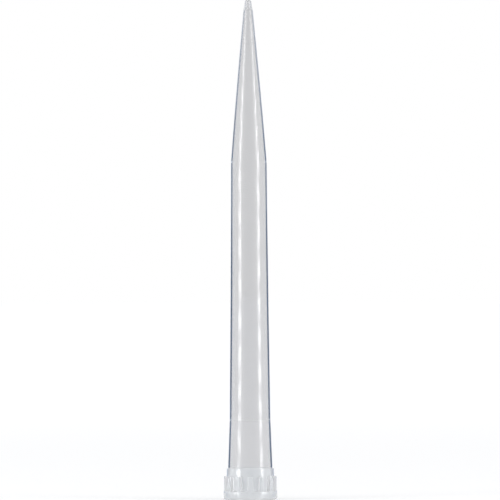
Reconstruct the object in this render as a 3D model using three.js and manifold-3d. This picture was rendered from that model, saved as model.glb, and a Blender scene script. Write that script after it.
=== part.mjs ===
// A 5 ml pipette tip, injection moulded in one piece from natural polypropylene.
//
// Millimetres, with the tip's axis on +Z. The tip stands on its collar: the mouth that
// pushes onto the pipette is at z = 0, and the point is at the top.

import * as THREE from 'three';
import { mergeVertices } from 'three/addons/utils/BufferGeometryUtils.js';
import Module from 'manifold-3d';

const wasm = await Module();
wasm.setup();

// Lengths along the axis, each one starting where the one before it ends
const flangeHeight = 2.75;
const ribHeight = 4.4;
const ringHeight = 2.35;
const socketLength = 14.5; // the part of the socket that stands above the collar
const barrelLength = 77.4;
const coneLength = 46.2;
const nozzleLength = 2.4;

// Outer radii of the tube, and how far its two long tapers leave a straight line
const neckRadius = 6.66; // where the tube leaves the collar
const socketTopRadius = 6.13;
const shoulderRadius = 5.37;
const barrelHollow = 0.075;
const coneBulge = 0.1;

// Nozzle at the point, from its orifice outwards
const orificeRadius = 0.55;
const nozzleRim = 0.12; // flat face around the orifice
const nozzleChamfer = 0.26;
const nozzleTaper = 0.3;
const nozzleStep = 0.1; // from the nozzle's foot out to the cone
const funnelLength = 0.8;

// Wall thicknesses, all measured square to the axis
const socketWall = 0.53;
const barrelFootWall = 0.56; // thicker than the socket's, so the pipette's cone meets a ledge
const shoulderWall = 0.45;
const coneEndWall = 0.42;

// Collar: a flange, the grip ribs above it and the plain ring that the ribs run up to
const ringStep = 0.42; // from the neck out to the ring's top edge
const ringDraft = 0.12;
const ringEdge = 0.08;
const ribDepth = 0.85;
const flangeCorner = 0.75;
const flangeEdge = 0.2;
const mouthEase = 0.25; // how much wider the socket is at the flange than at the neck
const mouthFlareHeight = 2.4;
const mouthFlare = 0.33;

// Grip ribs
const ribCount = 14;
const ribFootWidth = 1.5;
const ribHeadWidth = 1.3;
const ribCorner = 0.4;
const ribEdge = 0.2;
const ribSetback = 0.05; // the ribs stop this far inside the flange's rim
const ribRoot = 0.4; // how far a rib reaches into what carries it

// How finely the curves are divided
const facetsPerRib = 4;
const curveSteps = 4;

// Heights of the stations
const ribTop = flangeHeight + ribHeight;
const collarTop = ribTop + ringHeight;
const socketTop = collarTop + socketLength;
const shoulderHeight = socketTop + barrelLength;
const nozzleFoot = shoulderHeight + coneLength;
const tipEnd = nozzleFoot + nozzleLength;

// Radii that follow from the sizes above
const ringTopRadius = neckRadius + ringStep;
const ringFootRadius = ringTopRadius + ringDraft;
const flangeRadius = ringFootRadius + ribDepth;
const mouthRadius = neckRadius - socketWall + mouthEase;
const nozzleEndRadius = orificeRadius + nozzleRim + nozzleChamfer;
const nozzleFootRadius = nozzleEndRadius + nozzleTaper;
const coneEndRadius = nozzleFootRadius + nozzleStep;

// Draws a taper whose middle stands out by bulge. A quadratic curve passes halfway between
// its chord and its control point, so the control point is moved by twice as much.
function taperTo(path, radius, height, bulge) {
  const start = path.currentPoint;
  const controlRadius = (start.x + radius) / 2 + 2 * bulge;
  path.quadraticCurveTo(controlRadius, (start.y + height) / 2, radius, height);
}

// Draws the end face, the flange and the ring, from the mouth's edge up to the neck
function drawCollar(path) {
  const cornerCentre = flangeRadius - flangeCorner;
  path.moveTo(mouthRadius + mouthFlare, 0);
  path.lineTo(cornerCentre, 0);
  path.absarc(cornerCentre, flangeCorner, flangeCorner, -Math.PI / 2, 0, false);
  path.lineTo(flangeRadius, flangeHeight - flangeEdge);
  path.lineTo(flangeRadius - flangeEdge, flangeHeight);
  path.lineTo(ringFootRadius, flangeHeight);
  path.lineTo(ringTopRadius, collarTop - ringEdge);
  path.quadraticCurveTo(ringTopRadius, collarTop, ringTopRadius - ringEdge, collarTop);
  path.lineTo(neckRadius, collarTop);
}

// Draws the outside of the tube, from the neck to the rim of the orifice
function drawOutside(path) {
  path.lineTo(socketTopRadius, socketTop);
  taperTo(path, shoulderRadius, shoulderHeight, -barrelHollow);
  taperTo(path, coneEndRadius, nozzleFoot, coneBulge);
  path.lineTo(nozzleFootRadius, nozzleFoot);
  path.lineTo(nozzleEndRadius, tipEnd - nozzleChamfer);
  path.lineTo(orificeRadius + nozzleRim, tipEnd);
  path.lineTo(orificeRadius, tipEnd);
}

// Draws the bore, from the orifice back down to the mouth
function drawBore(path) {
  path.lineTo(orificeRadius, nozzleFoot);
  path.lineTo(coneEndRadius - coneEndWall, nozzleFoot - funnelLength);
  taperTo(path, shoulderRadius - shoulderWall, shoulderHeight, coneBulge);
  taperTo(path, socketTopRadius - barrelFootWall, socketTop, -barrelHollow);
  path.lineTo(socketTopRadius - socketWall, socketTop);
  path.lineTo(mouthRadius, mouthFlareHeight);
  path.closePath();
}

// Merges a geometry's shared corners and hands it to manifold-3d as a solid
function toSolid(geometry) {
  geometry.deleteAttribute('normal');
  geometry.deleteAttribute('uv');
  const merged = mergeVertices(geometry);
  const mesh = new wasm.Mesh({
    numProp: 3,
    vertProperties: new Float32Array(merged.attributes.position.array),
    triVerts: new Uint32Array(merged.index.array),
  });
  return new wasm.Manifold(mesh);
}

// Revolves the closed section of the wall about the tip's axis
function makeWall() {
  const section = new THREE.Path();
  drawCollar(section);
  drawOutside(section);
  drawBore(section);
  const wall = new THREE.LatheGeometry(section.getPoints(curveSteps), ribCount * facetsPerRib);
  wall.rotateX(Math.PI / 2);
  return toSolid(wall);
}

// Outline of one rib as it is seen from outside: narrower at its head, with round shoulders
function makeRibOutline() {
  const foot = ribFootWidth / 2;
  const head = ribHeadWidth / 2;
  const outline = new THREE.Shape();
  outline.moveTo(-foot, flangeHeight - ribRoot);
  outline.lineTo(foot, flangeHeight - ribRoot);
  outline.lineTo(head, ribTop - ribCorner);
  outline.quadraticCurveTo(head, ribTop, head - ribCorner, ribTop);
  outline.lineTo(ribCorner - head, ribTop);
  outline.quadraticCurveTo(-head, ribTop, -head, ribTop - ribCorner);
  outline.closePath();
  return outline;
}

// One rib, extruded from inside the ring out to the rib's face, turned about the axis by angle
function makeRib(angle) {
  const rootRadius = ringTopRadius - ribRoot;
  const faceRadius = flangeRadius - ribSetback;
  const rib = new THREE.ExtrudeGeometry(makeRibOutline(), {
    depth: faceRadius - rootRadius - 2 * ribEdge,
    curveSegments: curveSteps,
    bevelThickness: ribEdge,
    bevelSize: ribEdge,
    bevelOffset: -ribEdge,
    bevelSegments: 2,
  });
  rib.translate(0, 0, rootRadius + ribEdge);
  rib.rotateX(Math.PI / 2);
  rib.rotateZ(angle);
  return toSolid(rib);
}

// Joins the ribs to the wall and returns the moulding as one closed geometry
function makeMoulding() {
  let moulding = makeWall();
  for (let i = 0; i < ribCount; i++) {
    moulding = moulding.add(makeRib((i / ribCount) * 2 * Math.PI));
  }
  const mesh = moulding.getMesh();
  const geometry = new THREE.BufferGeometry();
  geometry.setAttribute('position', new THREE.BufferAttribute(mesh.vertProperties, 3));
  geometry.setIndex(new THREE.BufferAttribute(mesh.triVerts, 1));
  geometry.computeVertexNormals();
  return geometry;
}

const naturalPolypropylene = new THREE.MeshStandardMaterial({
  color: 0xd9dcde,
  roughness: 0.22,
  metalness: 0,
  transparent: true,
  opacity: 0.45,
});

const pipetteTip = new THREE.Mesh(makeMoulding(), naturalPolypropylene);
pipetteTip.name = 'pipette_tip';

const part = new THREE.Group();
part.add(pipetteTip);

export default part;
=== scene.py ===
"""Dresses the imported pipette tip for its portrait.

The tip is one moulding in natural polypropylene. Its wall is rebuilt here as one closed, finely divided
skin, so that light bends through it as it does through the real wall. Everything is in metres, in the
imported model's own frame: the tip stands on its collar at the origin, with its axis on +Z.
"""

import logging
import math
from collections.abc import Sequence
from dataclasses import dataclass, field
from enum import Enum

import bpy
from mathutils import Matrix, Vector, noise


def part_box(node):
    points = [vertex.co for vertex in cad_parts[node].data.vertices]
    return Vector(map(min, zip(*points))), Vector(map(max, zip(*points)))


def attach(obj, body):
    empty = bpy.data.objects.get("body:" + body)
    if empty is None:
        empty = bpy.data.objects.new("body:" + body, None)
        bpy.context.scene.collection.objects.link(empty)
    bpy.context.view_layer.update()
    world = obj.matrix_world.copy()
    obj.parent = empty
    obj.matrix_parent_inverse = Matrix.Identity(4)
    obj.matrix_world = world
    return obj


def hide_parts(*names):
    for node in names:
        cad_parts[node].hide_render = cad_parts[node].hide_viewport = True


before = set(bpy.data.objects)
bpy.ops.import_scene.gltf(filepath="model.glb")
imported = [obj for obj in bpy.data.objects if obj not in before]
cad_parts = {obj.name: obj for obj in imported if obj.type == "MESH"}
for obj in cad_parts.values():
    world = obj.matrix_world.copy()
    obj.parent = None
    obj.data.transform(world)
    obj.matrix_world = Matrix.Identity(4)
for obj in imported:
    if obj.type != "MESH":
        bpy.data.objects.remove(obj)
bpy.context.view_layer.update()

MM = 0.001
GUARD = 0.03 * MM  # room kept beside an edge, so that its shading or finish ends sharply there
END_STEP = 0.2  # the longest first and last step of a taper, as a part of its other steps
WHITE = (1.0, 1.0, 1.0, 1.0)
NODE = "pipette_tip"
BODY = "root"

Tree = bpy.types.NodeTree
Socket = bpy.types.NodeSocket
Colour = tuple[float, float, float, float]  # linear red, green and blue, and alpha
Place = tuple[float, float]  # radius and height of a point in the tip's section

log = logging.getLogger("pipette_tip")


def linear_from_hex(value: str) -> Colour:
    """Turns an sRGB hex colour into the linear values that a shader works in.

    Args:
        value: six hex digits, such as "d9dcde".

    Returns:
        Red, green, blue and an alpha of 1.
    """
    channels = []
    for start in (0, 2, 4):
        level = int(value[start : start + 2], 16) / 255
        channels.append(level / 12.92 if level <= 0.04045 else ((level + 0.055) / 1.055) ** 2.4)
    return (*channels, 1.0)


def add_node(
    tree: Tree, kind: str, settings: dict | None = None, links: dict | None = None
) -> bpy.types.Node:
    """Adds one node to a tree.

    Args:
        tree: the tree that gets the node.
        kind: the node's type, such as "ShaderNodeMath".
        settings: values by name, for the node's properties and for its unlinked inputs.
        links: output sockets by the name or number of the input that each one feeds.

    Returns:
        The new node.
    """
    node = tree.nodes.new(kind)
    for name, value in (settings or {}).items():
        if isinstance(name, str) and hasattr(node, name):
            setattr(node, name, value)
        else:
            node.inputs[name].default_value = value
    for name, output in (links or {}).items():
        tree.links.new(output, node.inputs[name])
    return node


def place_stops(ramp: bpy.types.Node, stops: Sequence[tuple[float, Colour]]) -> None:
    """Gives a colour ramp its stops.

    Args:
        ramp: the ramp's node, as it is when new.
        stops: the place, from 0 to 1, and the linear colour of each stop, in rising order.
    """
    elements = ramp.color_ramp.elements
    while len(elements) < len(stops):
        elements.new(1.0)
    for element, (place, colour) in zip(elements, stops):
        element.position = place
        element.color = colour


def clear_tree(owner: bpy.types.Material | bpy.types.World) -> Tree:
    """Empties a node tree before it is drawn.

    Args:
        owner: the material or world that the tree belongs to.

    Returns:
        The owner's own tree, with nothing left in it.
    """
    owner.use_nodes = True
    owner.node_tree.nodes.clear()
    return owner.node_tree


def add_object(name: str, data: bpy.types.ID) -> bpy.types.Object:
    """Puts a new object in the scene's collection.

    Args:
        name: the object's name.
        data: the mesh, light or camera that it carries.

    Returns:
        The new object.
    """
    made = bpy.data.objects.new(name, data)
    bpy.context.collection.objects.link(made)
    return made


class Side(Enum):
    """Which side of the camera a lamp stands on."""

    LEFT = -1
    RIGHT = 1


@dataclass(frozen=True)
class Levels:
    """Heights along the tip at which its wall changes, and the look of the plastic with it."""

    tube_foot: float
    socket_top: float
    shoulder: float
    nozzle_foot: float
    top: float


@dataclass(frozen=True)
class NaturalPolypropylene:
    """Polypropylene with no colourant, injection moulded in a polished cavity.

    It looks like slightly grey glass. The wall sends back a little light at each of its four surfaces,
    and the mould's polish is a little uneven, so the lamps' reflections waver down its length. A dark
    blue line is painted along each edge of the tube, where light inside the wall meets the bore past
    the angle of total reflection: a painted reflection of darker surroundings. The nozzle's sides get
    the same dark blue as painted shade. The collar's outside is matt and scatters some of the light,
    its ribs' flanks scatter more of it and get a lighter tint, a painted light that lifts their shade,
    and the nozzle is duller than the cone below it.
    """

    # What the wall takes from the light, in the barrel, the socket, the collar and the point
    tint: str = "ebebec"
    socket_tint: str = "ededee"
    collar_tint: str = "edeff1"
    # The flanks' lighter tint is painted light, which lifts the shade on the ribs' flanks
    flank_painted_light_tint: str = "fbfbfc"
    point_tint: str = "e8e8e9"
    point_from: float = 120.0 * MM
    tint_blend: float = 1.5 * MM

    # Polish of the mould, and the share of the light that goes through
    ior: float = 1.49
    roughness: float = 0.03
    collar_roughness: float = 0.05
    nozzle_roughness: float = 0.15
    clarity: float = 0.96
    collar_clarity: float = 0.95
    coat_ior: float = 1.6

    # Haze of the collar's matt outside, which starts at matt_radius and ends just above the collar.
    # Where the flank's share reaches full_flank, the haze is the flank's
    collar_haze: float = 0.5
    flank_haze: float = 0.8
    full_flank: float = 0.5
    matt_radius: float = 6.5 * MM
    matt_blend: float = 0.05 * MM
    matt_reach: float = 0.25 * MM

    # Painted edge lines, a painted reflection of darker surroundings in dark blue, and the nozzle's
    # painted side shade: how deep they are at each height, and where they are laid
    painted_edge_tint: str = "3a5f88"
    total_reflection: float = 0.98
    bore_reach: float = 6.9 * MM
    collar_slant: tuple[float, float] = (0.31, 0.35)
    painted_edge_depth: tuple[tuple[float, float], ...] = (
        (0.5 * MM, 0.0),
        (0.9 * MM, 0.6),
        (2.1 * MM, 0.6),
        (2.5 * MM, 0.0),
        (7.2 * MM, 0.0),
        (7.3 * MM, 1.0),
        (9.55 * MM, 1.0),
        (24 * MM, 0.85),
        (36 * MM, 1.0),
        (80 * MM, 1.0),
        (88 * MM, 0.85),
        (110 * MM, 0.85),
        (120 * MM, 0.65),
        (135 * MM, 0.55),
        (147 * MM, 0.35),
        (147.8 * MM, 0.0),
    )
    seam_width: float = 0.6 * MM
    painted_rim_depth: float = 0.15
    rim_slant: tuple[float, float] = (0.45, 0.75)

    # Uneven polish: three sizes of wave, each drawn out along the tip, and nearly none at the point.
    # They are coarser than the real polish's, so that the reflections show them
    stretch: float = 10.0
    ripple_length: float = 9.0 * MM
    ripple_height: float = 0.035 * MM
    dimple_length: float = 4.5 * MM
    dimple_height: float = 0.05 * MM
    bead_length: float = 1.1 * MM
    bead_height: float = 0.004 * MM
    detail: float = 1.0
    calm_from: float = 125.0 * MM
    calm_to: float = 147.0 * MM
    calm: float = 0.03

    def build(self, levels: Levels) -> bpy.types.Material:
        """Makes the material.

        Args:
            levels: the heights at which the wall changes.

        Returns:
            The material.
        """
        material = bpy.data.materials.new("moulded_natural_polypropylene")
        tree = clear_tree(material)
        place = add_node(tree, "ShaderNodeTexCoord").outputs["Object"]
        height = add_node(tree, "ShaderNodeSeparateXYZ", links={0: place}).outputs["Z"]
        across = add_node(
            tree, "ShaderNodeVectorMath", {"operation": "MULTIPLY", 1: (1, 1, 0)}, {0: place}
        ).outputs[0]
        radius = add_node(
            tree, "ShaderNodeVectorMath", {"operation": "LENGTH"}, {0: across}
        ).outputs["Value"]
        in_tube = self.above(tree, height, levels.tube_foot)
        in_nozzle = self.above(tree, height, levels.nozzle_foot)
        flank = self.flank_share(tree, across)
        past_matt = self.above(tree, height, levels.tube_foot + self.matt_reach)
        matt = self.matt_share(tree, radius, past_matt, flank)
        # Painted reflection and painted shade: dark blue tint and metal on the tube's edge lines and
        # the nozzle's sides
        painted_dark_edge = add_node(
            tree,
            "ShaderNodeMath",
            {"operation": "MAXIMUM"},
            {
                0: self.painted_edge_lines(tree, height, radius, in_tube, levels),
                1: self.painted_rim_shade(tree, in_nozzle),
            },
        ).outputs[0]
        shade = add_node(
            tree,
            "ShaderNodeMixRGB",
            {"Color2": linear_from_hex(self.painted_edge_tint)},
            {"Fac": painted_dark_edge, "Color1": self.colour(tree, height, flank, in_tube, levels)},
        )
        in_collar = add_node(
            tree, "ShaderNodeMath", {"operation": "SUBTRACT", 0: 1.0}, {1: in_tube}
        ).outputs[0]
        surface = add_node(
            tree,
            "ShaderNodeBsdfPrincipled",
            {"IOR": self.ior, "Coat Roughness": self.collar_roughness, "Coat IOR": self.coat_ior},
            {
                "Base Color": shade.outputs["Color"],
                "Metallic": painted_dark_edge,
                "Roughness": self.dullness(tree, in_tube, in_nozzle),
                "Transmission Weight": self.clearness(tree, in_tube, matt),
                "Coat Weight": in_collar,
                "Normal": self.unevenness(tree, place, height),
            },
        )
        add_node(tree, "ShaderNodeOutputMaterial", links={"Surface": surface.outputs["BSDF"]})
        return material

    def above(self, tree: Tree, height: Socket, level: float, blend: float = GUARD) -> Socket:
        """Tells what is above a level from what is below it.

        Args:
            tree: the material's tree.
            height: the surface's own height.
            level: the height of the change.
            blend: how far the change reaches to each side of the level.

        Returns:
            1 above the level and 0 below it.
        """
        return add_node(
            tree,
            "ShaderNodeMapRange",
            {"From Min": level - blend, "From Max": level + blend},
            {"Value": height},
        ).outputs["Result"]

    def flank_share(self, tree: Tree, across: Socket) -> Socket:
        """Tells the ribs' flanks and the steps between diameters from the round faces.

        Args:
            tree: the material's tree.
            across: the way from the axis to the surface.

        Returns:
            0 on a face that looks away from the axis, and 1 on one that is square to it.
        """
        outward = add_node(
            tree, "ShaderNodeVectorMath", {"operation": "NORMALIZE"}, {0: across}
        ).outputs[0]
        normal = add_node(tree, "ShaderNodeTexCoord").outputs["Normal"]
        along = add_node(
            tree, "ShaderNodeVectorMath", {"operation": "DOT_PRODUCT"}, {0: outward, 1: normal}
        ).outputs["Value"]
        size = add_node(tree, "ShaderNodeMath", {"operation": "ABSOLUTE"}, {0: along}).outputs[0]
        return add_node(tree, "ShaderNodeMath", {"operation": "SUBTRACT", 0: 1.0}, {1: size}).outputs[0]

    def matt_share(self, tree: Tree, radius: Socket, past: Socket, flank: Socket) -> Socket:
        """Finds the collar's outside, which the mould leaves matt, while the bore is polished.

        Args:
            tree: the material's tree.
            radius: the surface's distance from the axis.
            past: 1 above the matt part of the tip and 0 in it.
            flank: 1 on the ribs' flanks and the steps, which drag along the mould.

        Returns:
            How much of the light the matt surface scatters.
        """
        outside = add_node(
            tree,
            "ShaderNodeMapRange",
            {"From Min": self.matt_radius, "From Max": self.matt_radius + self.matt_blend},
            {"Value": radius},
        ).outputs["Result"]
        inside = add_node(tree, "ShaderNodeNewGeometry").outputs["Backfacing"]
        from_outside, in_reach = (
            add_node(tree, "ShaderNodeMath", {"operation": "SUBTRACT", 0: 1.0}, {1: other}).outputs[0]
            for other in (inside, past)
        )
        share = add_node(
            tree,
            "ShaderNodeMapRange",
            {"From Max": self.full_flank, "To Min": self.collar_haze, "To Max": self.flank_haze},
            {"Value": flank},
        ).outputs["Result"]
        for factor in (outside, in_reach, from_outside):
            share = add_node(
                tree, "ShaderNodeMath", {"operation": "MULTIPLY"}, {0: share, 1: factor}
            ).outputs[0]
        return share

    def colour(
        self, tree: Tree, height: Socket, flank: Socket, in_tube: Socket, levels: Levels
    ) -> Socket:
        """Gives each zone of the tip the tint of its wall, and the ribs' flanks a lighter painted-light
        tint that lifts their shade.

        Args:
            tree: the material's tree.
            height: the surface's own height.
            flank: 1 on the ribs' flanks and the steps between diameters, which get the painted-light
                tint.
            in_tube: 1 in the tube and 0 in the collar.
            levels: the heights at which the wall changes.

        Returns:
            The wall's tint.
        """
        collar = add_node(
            tree,
            "ShaderNodeMixRGB",
            {
                "Color1": linear_from_hex(self.collar_tint),
                "Color2": linear_from_hex(self.flank_painted_light_tint),
            },
            {"Fac": flank},
        ).outputs["Color"]
        tube = add_node(
            tree,
            "ShaderNodeMixRGB",
            {"Color1": linear_from_hex(self.socket_tint), "Color2": linear_from_hex(self.tint)},
            {"Fac": self.above(tree, height, levels.socket_top, self.tint_blend)},
        ).outputs["Color"]
        near_point = add_node(
            tree,
            "ShaderNodeMapRange",
            {"From Min": self.point_from, "From Max": levels.nozzle_foot},
            {"Value": height},
        ).outputs["Result"]
        tube = add_node(
            tree,
            "ShaderNodeMixRGB",
            {"Color2": linear_from_hex(self.point_tint)},
            {"Fac": near_point, "Color1": tube},
        ).outputs["Color"]
        return add_node(
            tree, "ShaderNodeMixRGB", links={"Fac": in_tube, "Color1": collar, "Color2": tube}
        ).outputs["Color"]

    def dullness(self, tree: Tree, in_tube: Socket, in_nozzle: Socket) -> Socket:
        """Makes the tube the glossiest part of the tip, and the nozzle the dullest.

        Args:
            tree: the material's tree.
            in_tube: 1 in the tube and 0 in the collar.
            in_nozzle: 1 in the nozzle and 0 below it.

        Returns:
            The roughness.
        """
        below_nozzle = add_node(
            tree,
            "ShaderNodeMapRange",
            {"To Min": self.collar_roughness, "To Max": self.roughness},
            {"Value": in_tube},
        ).outputs["Result"]
        return add_node(
            tree,
            "ShaderNodeMapRange",
            {"To Max": self.nozzle_roughness},
            {"Value": in_nozzle, "To Min": below_nozzle},
        ).outputs["Result"]

    def clearness(self, tree: Tree, in_tube: Socket, matt: Socket) -> Socket:
        """Lets most of the light through, and less of it where the outside is matt.

        Args:
            tree: the material's tree.
            in_tube: 1 in the tube and 0 in the collar.
            matt: how much of the light the matt surface scatters.

        Returns:
            The share of the light that goes through.
        """
        polished = add_node(
            tree,
            "ShaderNodeMapRange",
            {"To Min": self.collar_clarity, "To Max": self.clarity},
            {"Value": in_tube},
        ).outputs["Result"]
        return add_node(
            tree, "ShaderNodeMath", {"operation": "SUBTRACT"}, {0: polished, 1: matt}
        ).outputs[0]

    def painted_edge_lines(
        self, tree: Tree, height: Socket, radius: Socket, in_tube: Socket, levels: Levels
    ) -> Socket:
        """Paints dark blue edge lines, a painted reflection, where the bore turns light back inside the
        wall.

        The collar is so much thicker than the tube's wall that only the part close to the bore's edge
        shows it. The seams break the line up.

        Args:
            tree: the material's tree.
            height: the surface's own height.
            radius: the surface's distance from the axis.
            in_tube: 1 in the tube and 0 in the collar.
            levels: the heights at which the wall changes.

        Returns:
            1 where the painted edge colour and metal go on, and 0 elsewhere.
        """
        mirror = add_node(tree, "ShaderNodeFresnel", {"IOR": self.ior})
        inside = add_node(tree, "ShaderNodeNewGeometry").outputs["Backfacing"]
        share = add_node(
            tree,
            "ShaderNodeMath",
            {"operation": "GREATER_THAN", 1: self.total_reflection},
            {0: mirror.outputs[0]},
        ).outputs[0]
        way_up = add_node(
            tree, "ShaderNodeMath", {"operation": "DIVIDE", 1: levels.top}, {0: height}
        ).outputs[0]
        depth = add_node(tree, "ShaderNodeValToRGB", links={0: way_up})
        stops = [(level / levels.top, (part, part, part, 1.0)) for level, part in self.painted_edge_depth]
        place_stops(depth, stops)
        in_bore = add_node(
            tree, "ShaderNodeMath", {"operation": "LESS_THAN", 1: self.bore_reach}, {0: radius}
        ).outputs[0]
        facing = add_node(tree, "ShaderNodeLayerWeight").outputs["Facing"]
        near_edge = add_node(
            tree,
            "ShaderNodeMapRange",
            {
                "From Min": self.collar_slant[0],
                "From Max": self.collar_slant[1],
                "To Min": 1.0,
                "To Max": 0.0,
            },
            {"Value": facing},
        ).outputs["Result"]
        in_line = add_node(
            tree, "ShaderNodeMath", {"operation": "MAXIMUM"}, {0: near_edge, 1: in_tube}
        ).outputs[0]
        for factor in (inside, depth.outputs["Color"], in_bore, in_line):
            share = add_node(
                tree, "ShaderNodeMath", {"operation": "MULTIPLY"}, {0: share, 1: factor}
            ).outputs[0]
        for seam in (levels.socket_top, levels.shoulder):
            on_seam = add_node(
                tree,
                "ShaderNodeMath",
                {"operation": "COMPARE", 1: seam, 2: self.seam_width / 2},
                {0: height},
            ).outputs[0]
            share = add_node(
                tree,
                "ShaderNodeMath",
                {"operation": "SUBTRACT", "use_clamp": True},
                {0: share, 1: on_seam},
            ).outputs[0]
        return share

    def painted_rim_shade(self, tree: Tree, in_nozzle: Socket) -> Socket:
        """Paints shade on the sides of the nozzle in the edge lines' dark blue, more as they face away.

        Args:
            tree: the material's tree.
            in_nozzle: 1 in the nozzle and 0 below it.

        Returns:
            How much of the painted shade goes on the sides.
        """
        facing = add_node(tree, "ShaderNodeLayerWeight").outputs["Facing"]
        rim = add_node(
            tree,
            "ShaderNodeMapRange",
            {
                "From Min": self.rim_slant[0],
                "From Max": self.rim_slant[1],
                "To Max": self.painted_rim_depth,
            },
            {"Value": facing},
        ).outputs["Result"]
        return add_node(
            tree, "ShaderNodeMath", {"operation": "MULTIPLY"}, {0: rim, 1: in_nozzle}
        ).outputs[0]

    def unevenness(self, tree: Tree, place: Socket, height: Socket) -> Socket:
        """Lays the polish's ripple, its dimples and its much smaller beads over each other.

        All three are drawn out along the tip, the way the mould was polished. A real polish is finer
        than this: it is drawn as coarse as it has to be for the reflections to show it.

        Args:
            tree: the material's tree.
            place: the surface's own coordinates, in metres.
            height: the surface's own height, for the calmer polish of the point.

        Returns:
            The normal that the three bumps leave.
        """
        along_tip = add_node(
            tree,
            "ShaderNodeVectorMath",
            {"operation": "MULTIPLY", 1: (1, 1, 1 / self.stretch)},
            {0: place},
        ).outputs[0]
        normal = None
        for length, rise in (
            (self.ripple_length, self.ripple_height),
            (self.dimple_length, self.dimple_height),
            (self.bead_length, self.bead_height),
        ):
            wave = add_node(
                tree,
                "ShaderNodeTexNoise",
                {"Scale": 1 / length, "Detail": self.detail},
                {"Vector": along_tip},
            )
            distance = add_node(
                tree,
                "ShaderNodeMapRange",
                {
                    "From Min": self.calm_from,
                    "From Max": self.calm_to,
                    "To Min": rise,
                    "To Max": rise * self.calm,
                },
                {"Value": height},
            ).outputs["Result"]
            bump = add_node(
                tree, "ShaderNodeBump", links={"Height": wave.outputs["Fac"], "Distance": distance}
            )
            if normal is not None:
                tree.links.new(normal, bump.inputs["Normal"])
            normal = bump.outputs["Normal"]
        return normal


@dataclass(frozen=True)
class Ring:
    """One closed loop of the skin, square to the axis.

    A ring in the ribs has a crest that stands out of its radius, as wide as two half widths. gather
    draws the columns towards the ribs' edges: 0 spaces them evenly and 1 puts them on the edges.
    """

    radius: float
    height: float
    gather: float = 0.0
    crest: float = 0.0
    half_width: float = 0.0


@dataclass(frozen=True)
class GripRibs:
    """The straight ribs around the collar that a gloved hand or a rack's plate grips."""

    count: int = 14
    foot_half_width: float = 0.75 * MM
    head_half_width: float = 0.65 * MM
    edge: float = 0.2 * MM
    fillet: float = 0.2 * MM
    draft: float = 0.04 * MM

    def section(self, radius: float, crest: float, half_width: float) -> list[tuple[float, float]]:
        """Draws half of one rib's cross-section, from its middle line to the middle of the groove.

        Args:
            radius: the groove's radius.
            crest: the radius of the rib's face.
            half_width: half the width of the rib.

        Returns:
            Angle and radius of each corner.
        """
        depth = crest - radius
        edge, fillet = min(self.edge, depth / 2), min(self.fillet, depth / 2)
        slant = 1 - math.sqrt(0.5)
        foot = half_width + self.draft
        corners = [
            (0.0, depth),
            ((half_width - edge) / 2, depth),
            (half_width - edge, depth),
            (half_width - slant * edge, depth - slant * edge),
            (half_width, depth - edge),
            (foot, fillet),
            (foot + slant * fillet, slant * fillet),
            (foot + fillet, 0.0),
        ]
        points = [(math.asin(side / (radius + rise)), radius + rise) for side, rise in corners]
        middle = math.pi / self.count
        points.append(((points[-1][0] + middle) / 2, radius))
        points.append((middle, radius))
        return points

    def columns(self, ring: Ring) -> int:
        """Returns how many columns the whole skin has, counted on a ring in the ribs."""
        half = len(self.section(ring.radius, ring.crest, ring.half_width)) - 1
        return 2 * half * self.count

    def loop(self, ring: Ring, plain: Ring) -> list[Vector]:
        """Places the points of one ring.

        Args:
            ring: the ring.
            plain: a ring in the ribs, whose columns a plain ring borrows as far as it gathers.

        Returns:
            One point for each column.
        """
        model = ring if ring.crest else plain
        half = self.section(model.radius, model.crest, model.half_width)
        steps = len(half) - 1
        middle = math.pi / self.count
        angles, radii = [], []
        for index, (angle, radius) in enumerate(half):
            even = middle * index / steps
            angles.append(even + (angle - even) * (1.0 if ring.crest else ring.gather))
            radii.append(max(radius, ring.radius) if ring.crest else ring.radius)
        points = []
        for rib in range(self.count):
            centre = 2 * middle * rib - math.pi / 2
            for index in range(-steps, steps):
                turn = centre + math.copysign(angles[abs(index)], index)
                reach = radii[abs(index)]
                points.append(Vector((reach * math.cos(turn), reach * math.sin(turn), ring.height)))
        return points


def arc(centre: Place, size: float, start: float, end: float, steps: int) -> list[Place]:
    """Places points on a round edge.

    Args:
        centre: radius and height of the arc's centre.
        size: the arc's own radius.
        start: the first point's angle, in degrees, from straight out and turning upwards.
        end: the last point's angle.
        steps: how many parts the arc has.

    Returns:
        Radius and height of each point.
    """
    points = []
    for index in range(steps + 1):
        angle = math.radians(start + (end - start) * index / steps)
        points.append((centre[0] + size * math.cos(angle), centre[1] + size * math.sin(angle)))
    return points


def taper(start: Place, end: Place, bulge: float, steps: int) -> list[Place]:
    """Places points on a taper whose middle stands out by bulge.

    A point close to each end keeps the rounding of the surface's shading near that end.

    Args:
        start: radius and height of the first point.
        end: radius and height of the last point.
        bulge: how far the middle stands out of the straight line.
        steps: how many parts the taper has.

    Returns:
        Radius and height of each point after the first.
    """
    near = min(GUARD / math.dist(start, end), END_STEP / steps)
    parts = [near, *(index / steps for index in range(1, steps)), 1 - near, 1.0]
    points = []
    for part in parts:
        radius = start[0] + (end[0] - start[0]) * part + 4 * bulge * part * (1 - part)
        points.append((radius, start[1] + (end[1] - start[1]) * part))
    return points


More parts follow.
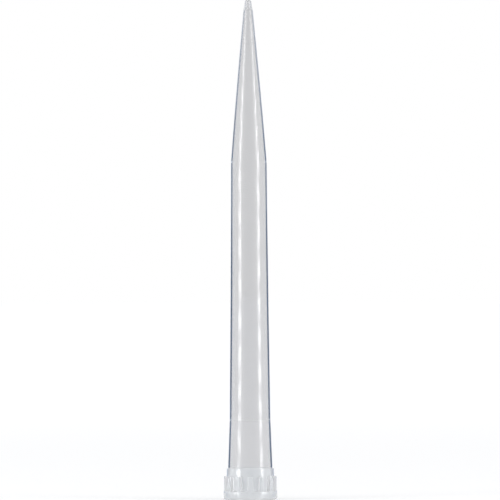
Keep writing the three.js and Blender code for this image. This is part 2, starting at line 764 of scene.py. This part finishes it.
@dataclass
class TipMoulding:
    """The whole tip: its ribbed collar, tapered tube, pointed cone and nozzle, with the bore inside."""

    finish: NaturalPolypropylene = field(default_factory=NaturalPolypropylene)
    ribs: GripRibs = field(default_factory=GripRibs)

    # Heights at which one stretch of the tip ends and the next begins
    flange_height: float = 2.75 * MM
    rib_top: float = 7.15 * MM
    collar_top: float = 9.5 * MM
    socket_top: float = 24.0 * MM
    shoulder: float = 101.4 * MM
    nozzle_foot: float = 147.6 * MM

    # Outside of the collar and the tube
    flange_corner: float = 0.75 * MM
    flange_edge: float = 0.2 * MM
    rib_setback: float = 0.05 * MM
    rib_corner: float = 0.4 * MM
    rib_gap: float = 0.01 * MM
    ring_foot_radius: float = 7.2 * MM
    ring_top_radius: float = 7.08 * MM
    ring_edge: float = 0.03 * MM
    neck_radius: float = 6.66 * MM
    neck_fillet: float = 0.02 * MM
    socket_top_radius: float = 6.13 * MM
    shoulder_radius: float = 5.37 * MM
    barrel_hollow: float = 0.075 * MM
    cone_bulge: float = 0.1 * MM

    # Nozzle
    orifice_radius: float = 0.55 * MM
    bore_edge: float = 0.08 * MM
    nozzle_rim: float = 0.12 * MM
    nozzle_chamfer: float = 0.26 * MM
    nozzle_taper: float = 0.3 * MM
    nozzle_step: float = 0.1 * MM
    nozzle_fillet: float = 0.05 * MM
    funnel_length: float = 0.8 * MM

    # Bore and walls, square to the axis
    mouth_radius: float = 6.38 * MM
    mouth_flare: float = 0.33 * MM
    mouth_flare_height: float = 2.4 * MM
    socket_wall: float = 0.53 * MM
    barrel_foot_wall: float = 0.56 * MM
    shoulder_wall: float = 0.45 * MM
    cone_end_wall: float = 0.42 * MM

    # Division of the skin: the tube's rows, and the parts of each round and of each short stretch.
    # A bend of more than crease degrees is shaded as an edge
    row_length: float = 2.0 * MM
    corner_parts: int = 6
    round_parts: int = 3
    root_parts: int = 2
    rib_parts: int = 4
    shoulder_turns: tuple[float, ...] = (30, 50, 65, 78, 90)
    shoulder_pull: float = 0.7
    ring_parts: int = 4
    nozzle_parts: int = 3
    flare_parts: int = 4
    crease: float = 40.0

    # Slight swell of the wall, and what keeps the bore's apart from the outside's
    wave_length: float = 14.0 * MM
    wave_height: float = 0.012 * MM
    bore_seed: float = 7.3

    def __post_init__(self) -> None:
        """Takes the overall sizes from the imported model's box, and works out the radii they give."""
        low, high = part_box(NODE)
        self.flange_radius = (high.y - low.y) / 2
        self.crest = self.flange_radius - self.rib_setback
        self.top = high.z
        self.nozzle_end_radius = self.orifice_radius + self.nozzle_rim + self.nozzle_chamfer
        self.nozzle_foot_radius = self.nozzle_end_radius + self.nozzle_taper
        self.cone_end_radius = self.nozzle_foot_radius + self.nozzle_step

    def rows(self, length: float) -> int:
        """Returns how many rows of the skin a stretch of this length gets."""
        return max(1, round(length / self.row_length))

    def flange_rings(self) -> list[Ring]:
        """Draws the end face and the flange, from the mouth's rim to the foot of the ribs.

        Returns:
            The rings, from the rim upwards.
        """
        corner = self.flange_corner
        edge = self.flange_edge
        fillet = self.ribs.fillet
        outline = [(self.mouth_radius + self.mouth_flare, 0.0)]
        outline += arc((self.flange_radius - corner, corner), corner, -90, 0, self.corner_parts)
        rings = [Ring(radius, height, 1.0) for radius, height in outline]
        rings.append(Ring(self.flange_radius, (corner + self.flange_height - edge) / 2, 1.0))
        centre = (self.flange_radius - edge, self.flange_height - edge)
        rounds = arc(centre, edge, 0, 90, self.round_parts)
        centre = (self.ring_foot_radius + fillet, self.flange_height + fillet)
        rounds += arc(centre, fillet, 270, 180, self.root_parts)
        half = self.ribs.foot_half_width
        rings += [Ring(radius, height, 1.0, self.crest, half) for radius, height in rounds]
        return rings

    def rib_rings(self) -> list[Ring]:
        """Draws the ribs and the plain ring above them, up to the neck.

        Returns:
            The rings, from the flange upwards.
        """
        ribs = self.ribs
        foot, head = self.flange_height + ribs.fillet, self.rib_top - self.rib_corner
        rings = []
        for index in range(self.rib_parts):
            part = (index + 1) / self.rib_parts
            height = foot + (head - foot) * part
            half = ribs.foot_half_width + (ribs.head_half_width - ribs.foot_half_width) * part
            rings.append(Ring(self.ring_radius(height), height, 1.0, self.crest, half))
        for angle in self.shoulder_turns:
            rise, turn = math.sin(math.radians(angle)), math.cos(math.radians(angle))
            height = head + self.rib_corner * rise
            half = ribs.head_half_width - self.rib_corner * (1 - turn) * self.shoulder_pull
            fall = min(1.0, max(0.0, height - (self.rib_top - ribs.edge)) / ribs.edge)
            face = self.crest - ribs.edge * (1 - math.sqrt(1 - fall * fall))
            rings.append(Ring(self.ring_radius(height), height, 1.0, face, half))
        edge, fillet = self.ring_edge, self.neck_fillet
        foot = self.rib_top + self.rib_gap
        for index in range(self.ring_parts + 1):
            part = index / self.ring_parts
            height = foot + (self.collar_top - edge - foot) * part
            rings.append(Ring(self.ring_radius(height), height, 1 - part))
        centre = (self.ring_top_radius - edge, self.collar_top - edge)
        rounds = arc(centre, edge, 0, 90, self.ring_parts)[1:]
        centre = (self.neck_radius + fillet, self.collar_top + fillet)
        rounds += arc(centre, fillet, 270, 180, self.round_parts)
        rings += [Ring(radius, height) for radius, height in rounds]
        return rings

    def ring_radius(self, height: float) -> float:
        """Returns the radius of the plain ring and of the grooves between the ribs."""
        part = (height - self.flange_height) / (self.collar_top - self.flange_height)
        return self.ring_foot_radius + (self.ring_top_radius - self.ring_foot_radius) * part

    def tube_rings(self) -> list[Ring]:
        """Draws the outside from the neck to the rim of the nozzle's end.

        Returns:
            The rings, from the neck upwards.
        """
        stations = [
            ((self.socket_top_radius, self.socket_top), 0.0),
            ((self.shoulder_radius, self.shoulder), -self.barrel_hollow),
            ((self.cone_end_radius, self.nozzle_foot), self.cone_bulge),
        ]
        outline = []
        last = (self.neck_radius, self.collar_top + self.neck_fillet)
        for station, bulge in stations:
            outline += taper(last, station, bulge, self.rows(station[1] - last[1]))
            last = station
        fillet = self.nozzle_fillet
        centre = (self.nozzle_foot_radius + fillet, self.nozzle_foot + fillet)
        outline += arc(centre, fillet, 270, 180, self.round_parts)
        end = (self.nozzle_end_radius, self.top - self.nozzle_chamfer)
        outline += taper(outline[-1], end, 0.0, self.nozzle_parts)
        outline.append((self.orifice_radius + self.nozzle_rim, self.top))
        return [Ring(radius, height) for radius, height in outline]

    def bore_rings(self) -> list[Ring]:
        """Draws the bore, from the orifice back down to the mouth.

        Returns:
            The rings, from the orifice downwards.
        """
        edge = self.bore_edge
        foot = self.nozzle_foot
        centre = (self.orifice_radius + edge, self.top - edge)
        outline = arc(centre, edge, 90, 180, self.round_parts)
        outline += taper(outline[-1], (self.orifice_radius, foot), 0.0, self.nozzle_parts)
        last = (self.cone_end_radius - self.cone_end_wall, foot - self.funnel_length)
        outline.append(last)
        stations = [
            ((self.shoulder_radius - self.shoulder_wall, self.shoulder), self.cone_bulge),
            ((self.socket_top_radius - self.barrel_foot_wall, self.socket_top), -self.barrel_hollow),
        ]
        for station, bulge in stations:
            outline += taper(last, station, bulge, self.rows(last[1] - station[1]))
            last = station
        ledge = (self.socket_top_radius - self.socket_wall, self.socket_top - edge)
        outline.append(ledge)
        mouth = (self.mouth_radius, self.mouth_flare_height)
        outline += taper(ledge, mouth, 0.0, self.rows(ledge[1] - mouth[1]))
        rings = [Ring(radius, height) for radius, height in outline]
        rim = self.mouth_radius + self.mouth_flare
        for radius, height in taper(mouth, (rim, 0.0), 0.0, self.flare_parts)[:-1]:
            part = (rim - radius) / self.mouth_flare
            rings.append(Ring(radius, height, 1 - part))
        return rings

    def waver(self, point: Vector, seed: float) -> Vector:
        """Moves a point along its radius by the wall's slight unevenness.

        Args:
            point: the point.
            seed: keeps the bore's unevenness apart from the outside's.

        Returns:
            The moved point.
        """
        fade = min(1.0, max(0.0, (point.z - self.collar_top) / self.wave_length))
        fade *= min(1.0, max(0.0, (self.nozzle_foot - point.z) / self.wave_length))
        swell = noise.noise(point / self.wave_length + Vector((seed, seed, seed)))
        flat = Vector((point.x, point.y, 0.0))
        return point + flat.normalized() * (self.wave_height * fade * swell)

    def mesh(self) -> bpy.types.Mesh:
        """Skins the rings into one closed mesh.

        Returns:
            The mesh.
        """
        outside = self.flange_rings() + self.rib_rings() + self.tube_rings()
        rings = [(ring, 0.0) for ring in outside]
        rings += [(ring, self.bore_seed) for ring in self.bore_rings()]
        plain = Ring(self.ring_foot_radius, 0.0, 1.0, self.crest, self.ribs.foot_half_width)
        points, faces = [], []
        columns = self.ribs.columns(plain)
        for ring, seed in rings:
            points += [self.waver(point, seed) for point in self.ribs.loop(ring, plain)]
        for row in range(len(rings)):
            here, above = row * columns, (row + 1) % len(rings) * columns
            for column in range(columns):
                after = (column + 1) % columns
                faces.append((here + column, here + after, above + after, above + column))
        skin = bpy.data.meshes.new("tip_moulding")
        skin.from_pydata(points, [], faces)
        skin.validate()
        skin.shade_smooth()
        skin.set_sharp_from_angle(angle=math.radians(self.crease))
        return skin

    def build(self) -> bpy.types.Object:
        """Makes the moulding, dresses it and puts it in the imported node's place.

        Returns:
            The finished piece.
        """
        piece = add_object("tip_moulding", self.mesh())
        tube_foot = self.collar_top + self.neck_fillet
        levels = Levels(tube_foot, self.socket_top, self.shoulder, self.nozzle_foot, self.top)
        piece.data.materials.append(self.finish.build(levels))
        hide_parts(NODE)
        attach(piece, BODY)
        log.info("%s: %d faces", piece.name, len(piece.data.polygons))
        return piece


def seen_directly(tree: Tree) -> Socket:
    """Tells the rays that show the background from those that only light the scene.

    Args:
        tree: the tree that gets the nodes.

    Returns:
        1 for a ray from the camera, a mirror or a clear wall, and 0 for any other.
    """
    path = add_node(tree, "ShaderNodeLightPath").outputs
    seen = path["Is Camera Ray"]
    for kind in ("Is Glossy Ray", "Is Transmission Ray"):
        seen = add_node(
            tree, "ShaderNodeMath", {"operation": "MAXIMUM"}, {0: seen, 1: path[kind]}
        ).outputs[0]
    return seen


def is_mirrored(tree: Tree) -> Socket:
    """Returns 1 for a ray that a surface has reflected on its way, and 0 for any other."""
    path = add_node(tree, "ShaderNodeLightPath").outputs
    return add_node(
        tree, "ShaderNodeMath", {"operation": "MINIMUM", 1: 1.0}, {0: path["Glossy Depth"]}
    ).outputs[0]


@dataclass(frozen=True)
class MirroredRoom:
    """The room that stands around the tip, of which the tip's reflections show a part.

    The sides' colours are given with their directions, in degrees from straight behind the tip. A way
    that rises or falls by more than side_slope of its length along the floor shows the ceiling.
    """

    sides: tuple[tuple[float, str], ...] = (
        (15.0, "ffffff"),
        (18.0, "a9b8cc"),
        (39.0, "a9b8cc"),
        (42.0, "f7f8fa"),
        (130.0, "ffffff"),
        (155.0, "b0b3b7"),
    )
    side_slope: float = 0.2
    slope_blend: float = 0.1
    ceiling: str = "e6e8ea"

    def colour(self, tree: Tree, way: Socket) -> Socket:
        """Draws the room.

        Args:
            tree: the tree that gets the nodes.
            way: the direction of what is seen, from the tip.

        Returns:
            The room's colour in that direction.
        """
        axes = add_node(tree, "ShaderNodeSeparateXYZ", links={0: way}).outputs
        turn = add_node(tree, "ShaderNodeMath", {"operation": "ARCTAN2"}, {0: axes["X"], 1: axes["Y"]})
        aside = add_node(tree, "ShaderNodeMath", {"operation": "ABSOLUTE"}, {0: turn.outputs[0]})
        part = add_node(
            tree, "ShaderNodeMath", {"operation": "DIVIDE", 1: math.pi}, {0: aside.outputs[0]}
        )
        ramp = add_node(tree, "ShaderNodeValToRGB", links={0: part.outputs[0]})
        place_stops(ramp, [(angle / 180, linear_from_hex(colour)) for angle, colour in self.sides])
        return add_node(
            tree,
            "ShaderNodeMixRGB",
            {"Color2": linear_from_hex(self.ceiling)},
            {"Fac": self.steepness(tree, axes), "Color1": ramp.outputs["Color"]},
        ).outputs["Color"]

    def steepness(self, tree: Tree, axes: bpy.types.bpy_prop_collection) -> Socket:
        """Tells how far a direction is out of the band that the room's sides fill.

        Args:
            tree: the tree that gets the nodes.
            axes: the direction's three parts.

        Returns:
            0 for a level direction, and 1 for one that shows the ceiling.
        """
        flat = add_node(
            tree, "ShaderNodeCombineXYZ", links={"X": axes["X"], "Y": axes["Y"]}
        ).outputs[0]
        reach = add_node(
            tree, "ShaderNodeVectorMath", {"operation": "LENGTH"}, {0: flat}
        ).outputs["Value"]
        rise = add_node(tree, "ShaderNodeMath", {"operation": "ABSOLUTE"}, {0: axes["Z"]}).outputs[0]
        slope = add_node(
            tree, "ShaderNodeMath", {"operation": "DIVIDE"}, {0: rise, 1: reach}
        ).outputs[0]
        return add_node(
            tree,
            "ShaderNodeMapRange",
            {"From Min": self.side_slope, "From Max": self.side_slope + self.slope_blend},
            {"Value": slope},
        ).outputs["Result"]


@dataclass(frozen=True)
class MattWhiteCard:
    """Uncoated white card, cut for the floor.

    Its face scatters light evenly, so it keeps the tip's soft shadow and mirrors nothing. To the camera
    it glows as well, until it is as white as the field behind it. The glow rises with the distance
    from the tip, as the lamps' light fades. A ray that the tip has reflected sees the room instead.
    """

    colour: str = "e8e8e8"
    glow: tuple[float, float] = (0.345, 0.46)
    glow_reach: tuple[float, float] = (0.1, 0.9)
    mirror_height: float = 45 * MM  # the place on the tip from which the room's directions are taken

    def build(self, room: MirroredRoom) -> bpy.types.Material:
        """Makes the material.

        Args:
            room: what the tip's reflections show in the card's place.

        Returns:
            The material.
        """
        material = bpy.data.materials.new("matt_white_card")
        tree = clear_tree(material)
        face = add_node(tree, "ShaderNodeBsdfDiffuse", {"Color": linear_from_hex(self.colour)})
        place = add_node(tree, "ShaderNodeTexCoord").outputs["Object"]
        reach = add_node(
            tree, "ShaderNodeVectorMath", {"operation": "LENGTH"}, {0: place}
        ).outputs["Value"]
        level = add_node(
            tree,
            "ShaderNodeMapRange",
            {
                "From Min": self.glow_reach[0],
                "From Max": self.glow_reach[1],
                "To Min": self.glow[0],
                "To Max": self.glow[1],
            },
            {"Value": reach},
        ).outputs["Result"]
        strength = add_node(
            tree, "ShaderNodeMath", {"operation": "MULTIPLY"}, {0: seen_directly(tree), 1: level}
        ).outputs[0]
        shine = add_node(tree, "ShaderNodeEmission", {"Color": WHITE}, {"Strength": strength})
        both = add_node(tree, "ShaderNodeAddShader", links={0: face.outputs[0], 1: shine.outputs[0]})
        way = add_node(
            tree,
            "ShaderNodeVectorMath",
            {"operation": "SUBTRACT", 1: (0.0, 0.0, self.mirror_height)},
            {0: place},
        ).outputs[0]
        mirrored = add_node(tree, "ShaderNodeEmission", links={"Color": room.colour(tree, way)})
        final = add_node(
            tree,
            "ShaderNodeMixShader",
            links={0: is_mirrored(tree), 1: both.outputs[0], 2: mirrored.outputs[0]},
        )
        add_node(tree, "ShaderNodeOutputMaterial", links={"Surface": final.outputs[0]})
        return material


@dataclass(frozen=True)
class StripLamp:
    """A tall soft lamp, with rows of diodes behind its cloth.

    It is brighter at each row, and a little dimmer towards its top. The rows of one lamp stand half a
    pitch higher than the other's. The front wall mirrors one lamp where the back wall mirrors the
    other, and the two rows of beads then fall together.
    """

    side: Side
    turn: float  # degrees from the camera, round the tip
    width: float
    row_start: float  # height of the first row, in parts of the rows' pitch
    distance: float = 0.5
    height: float = 0.6
    level: float = 2.8
    row_pitch: float = 12.9 * MM
    row_level: tuple[float, float] = (0.3, 1.7)
    fade_reach: tuple[float, float] = (80.0 * MM, 140.0 * MM)
    fade_level: float = 0.85

    def build(self) -> bpy.types.Object:
        """Stands the lamp beside the camera, turned to face the tip.

        Returns:
            The lamp.
        """
        low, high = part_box(NODE)
        light = bpy.data.lights.new(f"strip_{self.side.name.lower()}", "AREA")
        light.shape = "RECTANGLE"
        light.size, light.size_y = self.width, self.height
        light.energy = self.level * math.pi * self.width * self.height
        self.light_rows(light)
        lamp = add_object(light.name, light)
        turn = math.radians(self.turn) * self.side.value
        way = Vector((math.sin(turn), -math.cos(turn), 0.0))
        lamp.location = (low + high) / 2 + way * self.distance
        lamp.location.z = self.height / 2
        lamp.rotation_mode = "QUATERNION"
        lamp.rotation_quaternion = way.to_track_quat("Z", "Y")
        lamp.visible_camera = False
        log.info("%s at %s", lamp.name, tuple(round(value, 3) for value in lamp.location))
        return lamp

    def light_rows(self, light: bpy.types.Light) -> None:
        """Gives the light its rows and its fade.

        Args:
            light: the lamp's light.
        """
        light.use_nodes = True
        tree = light.node_tree
        place = add_node(tree, "ShaderNodeNewGeometry").outputs["Position"]
        height = add_node(tree, "ShaderNodeSeparateXYZ", links={0: place}).outputs["Z"]
        rows = add_node(
            tree,
            "ShaderNodeMath",
            {
                "operation": "MULTIPLY_ADD",
                1: math.tau / self.row_pitch,
                2: -math.tau * self.row_start,
            },
            {0: height},
        ).outputs[0]
        wave = add_node(tree, "ShaderNodeMath", {"operation": "COSINE"}, {0: rows}).outputs[0]
        level = add_node(
            tree,
            "ShaderNodeMapRange",
            {
                "From Min": -1.0,
                "From Max": 1.0,
                "To Min": self.row_level[0],
                "To Max": self.row_level[1],
            },
            {"Value": wave},
        ).outputs["Result"]
        fade = add_node(
            tree,
            "ShaderNodeMapRange",
            {
                "From Min": self.fade_reach[0],
                "From Max": self.fade_reach[1],
                "To Min": 1.0,
                "To Max": self.fade_level,
            },
            {"Value": height},
        ).outputs["Result"]
        shown = add_node(tree, "ShaderNodeMath", {"operation": "MULTIPLY"}, {0: level, 1: fade})
        tree.links.new(shown.outputs[0], tree.nodes["Emission"].inputs["Strength"])


@dataclass
class Studio:
    """A pale floor under an even white field, with a tall soft lamp on each side of the camera."""

    card: MattWhiteCard = field(default_factory=MattWhiteCard)
    room: MirroredRoom = field(default_factory=MirroredRoom)
    lamps: tuple[StripLamp, ...] = (
        StripLamp(Side.LEFT, turn=63.3, width=0.185, row_start=0.33),
        StripLamp(Side.RIGHT, turn=63.6, width=0.16, row_start=0.83),
    )
    floor_half: float = 6.0
    light_colour: str = "f4f5f7"
    light_level: float = 0.75
    bounces: int = 32

    def floor(self) -> bpy.types.Object:
        """Lays the floor.

        Returns:
            The floor.
        """
        half = self.floor_half
        mesh = bpy.data.meshes.new("floor")
        corners = [(-half, -half, 0), (half, -half, 0), (half, half, 0), (-half, half, 0)]
        mesh.from_pydata(corners, [], [(0, 1, 2, 3)])
        mesh.materials.append(self.card.build(self.room))
        floor = add_object("floor", mesh)
        return floor

    def world(self) -> bpy.types.World:
        """Makes the white field behind the tip, the light of the room, and what the tip mirrors of it.

        The camera and the clear wall see the white field. A ray that the tip has reflected sees the
        room instead, whose grey-blue part behind the tip tones the edges of the tube.

        Returns:
            The world.
        """
        world = bpy.data.worlds.new("studio")
        tree = clear_tree(world)
        white_field = add_node(tree, "ShaderNodeBackground", {"Color": WHITE, "Strength": 1.0})
        light = add_node(
            tree,
            "ShaderNodeBackground",
            {"Color": linear_from_hex(self.light_colour), "Strength": self.light_level},
        )
        way = add_node(tree, "ShaderNodeTexCoord").outputs["Generated"]
        mirrored = add_node(tree, "ShaderNodeBackground", links={"Color": self.room.colour(tree, way)})
        shown = add_node(
            tree,
            "ShaderNodeMixShader",
            links={0: is_mirrored(tree), 1: white_field.outputs[0], 2: mirrored.outputs[0]},
        )
        final = add_node(
            tree,
            "ShaderNodeMixShader",
            links={0: seen_directly(tree), 1: light.outputs[0], 2: shown.outputs[0]},
        )
        add_node(tree, "ShaderNodeOutputWorld", links={"Surface": final.outputs[0]})
        bpy.context.scene.world = world
        return world

    def light_paths(self) -> None:
        """Lets light be reflected inside the moulding until it finds its way out."""
        paths = bpy.context.scene.cycles
        paths.max_bounces = paths.glossy_bounces = paths.transmission_bounces = self.bounces

    def build(self) -> None:
        """Makes the floor, the world and both lamps."""
        self.light_paths()
        self.floor()
        self.world()
        for lamp in self.lamps:
            lamp.build()


@dataclass
class PortraitCamera:
    """A long lens, level with the middle of the tip, that fills the frame's height with it."""

    distance: float = 1.6
    frame_height: float = 150.15 * MM
    sensor: float = 36.0  # millimetres, as the camera's own settings are
    clip: tuple[float, float] = (0.1, 20.0)
    side_shift: float = 0.22 * MM
    lean: float = 0.27  # degrees

    def build(self) -> bpy.types.Object:
        """Makes the scene's camera.

        Returns:
            The camera.
        """
        low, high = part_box(NODE)
        data = bpy.data.cameras.new("portrait")
        data.sensor_width = self.sensor
        data.lens = self.sensor * self.distance / self.frame_height
        data.clip_start, data.clip_end = self.clip
        camera = add_object("portrait", data)
        middle = (low + high) / 2
        camera.location = middle + Vector((self.side_shift, -self.distance, 0.0))
        upright = Matrix.Rotation(math.radians(90), 4, "X")
        leaning = Matrix.Rotation(math.radians(-self.lean), 4, "Z")
        camera.rotation_mode = "QUATERNION"
        camera.rotation_quaternion = (upright @ leaning).to_quaternion()
        bpy.context.scene.camera = camera
        log.info("camera %.2f m away, %.0f mm lens", self.distance, data.lens)
        return camera


def main() -> None:
    """Builds the camera, the tip and the studio, in that order."""
    logging.basicConfig(level=logging.INFO, format="%(name)s: %(message)s")
    bpy.context.scene.view_settings.view_transform = "Standard"
    PortraitCamera().build()
    TipMoulding().build()
    Studio().build()


if __name__ == "__main__":
    main()
